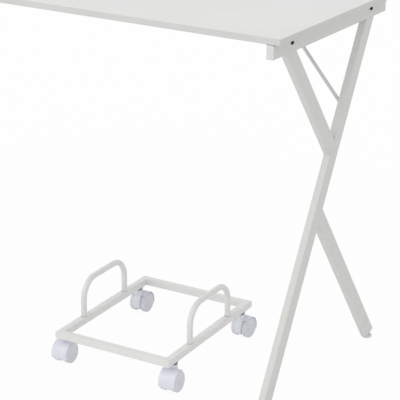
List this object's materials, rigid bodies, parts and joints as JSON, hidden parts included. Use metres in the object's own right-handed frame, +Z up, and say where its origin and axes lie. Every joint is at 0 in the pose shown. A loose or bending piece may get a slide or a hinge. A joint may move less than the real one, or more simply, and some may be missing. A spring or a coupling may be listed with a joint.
{
  "type": "l-shaped desk",
  "caption": "L-shaped corner desk with thin white boards on a white tube frame with K-shaped ends, and a low rolling stand for a computer tower underneath.",
  "frame": {"origin": "middle of the footprint, on the floor, with every foot wound in and the tower stand in its place under the long wing", "axes": "+Z up; +X along the long wing, from the corner towards its leg frame; +Y towards the back edge of the long wing, so the short wing runs along -Y"},
  "size_m": [1.4936, 1.1336, 0.76],
  "materials": {
    "board_laminate": "particle board faced with smooth matte white laminate",
    "edge_band": "matte white edge band",
    "white_powder_coat": "satin white powder coat on steel",
    "cap_plastic": "white moulded plastic",
    "castor_plastic": "slightly bluish white moulded nylon",
    "zinc_plated_steel": "bright zinc plating",
    "black_steel": "black oxide on steel",
    "plain_steel": "bare steel"
  },
  "bodies": {
    "desk": {"main_board": "board_laminate", "corner_board": "board_laminate", "return_board": "board_laminate", "edge_bands": "edge_band", "joining_plates": "zinc_plated_steel", "wood_screws": "zinc_plated_steel", "right_top_rail": "white_powder_coat", "right_long_leg": "white_powder_coat", "right_upper_branch": "white_powder_coat", "right_lower_branch": "white_powder_coat", "right_brace": "white_powder_coat", "return_top_rail": "white_powder_coat", "return_long_leg": "white_powder_coat", "return_upper_branch": "white_powder_coat", "return_lower_branch": "white_powder_coat", "return_brace": "white_powder_coat", "rail_caps": "cap_plastic", "foot_plugs": "cap_plastic", "beam_bolts": "black_steel", "beam_plugs": "plain_steel", "main_front_beam": "white_powder_coat", "main_back_beam": "white_powder_coat", "return_front_beam": "white_powder_coat", "return_back_beam": "white_powder_coat", "corner_rail": "white_powder_coat", "corner_rear_leg": "white_powder_coat", "corner_front_leg": "white_powder_coat", "corner_gussets": "white_powder_coat", "machine_screws": "zinc_plated_steel"},
    "stand": {"stand_front_rail": "white_powder_coat", "stand_back_rail": "white_powder_coat", "stand_left_rail": "white_powder_coat", "stand_right_rail": "white_powder_coat", "stand_left_hoop": "white_powder_coat", "stand_right_hoop": "white_powder_coat", "castor_stems": "plain_steel", "stem_nuts": "plain_steel"},
    "front_left_castor": {"front_left_hood": "castor_plastic", "front_left_axle": "plain_steel"},
    "front_right_castor": {"front_right_hood": "castor_plastic", "front_right_axle": "plain_steel"},
    "back_right_castor": {"back_right_hood": "castor_plastic", "back_right_axle": "plain_steel"},
    "back_left_castor": {"back_left_hood": "castor_plastic", "back_left_axle": "plain_steel"},
    "front_left_wheel_a_turning": {"front_left_wheel_a": "castor_plastic"},
    "front_left_wheel_b_turning": {"front_left_wheel_b": "castor_plastic"},
    "front_right_wheel_a_turning": {"front_right_wheel_a": "castor_plastic"},
    "front_right_wheel_b_turning": {"front_right_wheel_b": "castor_plastic"},
    "back_right_wheel_a_turning": {"back_right_wheel_a": "castor_plastic"},
    "back_right_wheel_b_turning": {"back_right_wheel_b": "castor_plastic"},
    "back_left_wheel_a_turning": {"back_left_wheel_a": "castor_plastic"},
    "back_left_wheel_b_turning": {"back_left_wheel_b": "castor_plastic"},
    "right_front_foot_pad": {"right_front_foot": "cap_plastic"},
    "right_back_foot_pad": {"right_back_foot": "cap_plastic"},
    "return_front_foot_pad": {"return_front_foot": "cap_plastic"},
    "return_back_foot_pad": {"return_back_foot": "cap_plastic"},
    "corner_rear_foot_pad": {"corner_rear_foot": "cap_plastic"},
    "corner_front_foot_pad": {"corner_front_foot": "cap_plastic"}
  },
  "joints": [
    {"name": "right_front_foot_height", "type": "slide", "parent": "desk", "child": "right_front_foot_pad", "axis": [0, 0, -1], "range_m": [0, 0.008]},
    {"name": "right_back_foot_height", "type": "slide", "parent": "desk", "child": "right_back_foot_pad", "axis": [0, 0, -1], "range_m": [0, 0.008]},
    {"name": "return_front_foot_height", "type": "slide", "parent": "desk", "child": "return_front_foot_pad", "axis": [0, 0, -1], "range_m": [0, 0.008]},
    {"name": "return_back_foot_height", "type": "slide", "parent": "desk", "child": "return_back_foot_pad", "axis": [0, 0, -1], "range_m": [0, 0.008]},
    {"name": "corner_rear_foot_height", "type": "slide", "parent": "desk", "child": "corner_rear_foot_pad", "axis": [0, 0, -1], "range_m": [0, 0.008]},
    {"name": "corner_front_foot_height", "type": "slide", "parent": "desk", "child": "corner_front_foot_pad", "axis": [0, 0, -1], "range_m": [0, 0.008]},
    {"name": "stand_roll", "type": "slide", "parent": "desk", "child": "stand", "axis": [0.0297, -0.9996, 0], "range_m": [0, 0.5]},
    {"name": "front_left_swivel", "type": "hinge", "parent": "stand", "child": "front_left_castor", "pos_m": [0.24735, 0.11537, 0.04], "axis": [0, 0, 1], "continuous": true},
    {"name": "front_left_wheel_a_roll", "type": "hinge", "parent": "front_left_castor", "child": "front_left_wheel_a_turning", "pos_m": [0.24784, 0.10508, 0.022], "axis": [-0.9989, -0.0471, 0], "continuous": true},
    {"name": "front_left_wheel_b_roll", "type": "hinge", "parent": "front_left_castor", "child": "front_left_wheel_b_turning", "pos_m": [0.24784, 0.10508, 0.022], "axis": [-0.9989, -0.0471, 0], "continuous": true},
    {"name": "front_right_swivel", "type": "hinge", "parent": "stand", "child": "front_right_castor", "pos_m": [0.50624, 0.12306, 0.04], "axis": [0, 0, 1], "continuous": true},
    {"name": "front_right_wheel_a_roll", "type": "hinge", "parent": "front_right_castor", "child": "front_right_wheel_a_turning", "pos_m": [0.50708, 0.11279, 0.022], "axis": [-0.9966, -0.0819, 0], "continuous": true},
    {"name": "front_right_wheel_b_roll", "type": "hinge", "parent": "front_right_castor", "child": "front_right_wheel_b_turning", "pos_m": [0.50708, 0.11279, 0.022], "axis": [-0.9966, -0.0819, 0], "continuous": true},
    {"name": "back_right_swivel", "type": "hinge", "parent": "stand", "child": "back_right_castor", "pos_m": [0.49793, 0.40293, 0.04], "axis": [0, 0, 1], "continuous": true},
    {"name": "back_right_wheel_a_roll", "type": "hinge", "parent": "back_right_castor", "child": "back_right_wheel_a_turning", "pos_m": [0.49834, 0.41323, 0.022], "axis": [0.9992, -0.0401, 0], "continuous": true},
    {"name": "back_right_wheel_b_roll", "type": "hinge", "parent": "back_right_castor", "child": "back_right_wheel_b_turning", "pos_m": [0.49834, 0.41323, 0.022], "axis": [0.9992, -0.0401, 0], "continuous": true},
    {"name": "back_left_swivel", "type": "hinge", "parent": "stand", "child": "back_left_castor", "pos_m": [0.23905, 0.39525, 0.04], "axis": [0, 0, 1], "continuous": true},
    {"name": "back_left_wheel_a_roll", "type": "hinge", "parent": "back_left_castor", "child": "back_left_wheel_a_turning", "pos_m": [0.23838, 0.40553, 0.022], "axis": [0.9979, 0.0645, 0], "continuous": true},
    {"name": "back_left_wheel_b_roll", "type": "hinge", "parent": "back_left_castor", "child": "back_left_wheel_b_turning", "pos_m": [0.23838, 0.40553, 0.022], "axis": [0.9979, 0.0645, 0], "continuous": true}
  ]
}
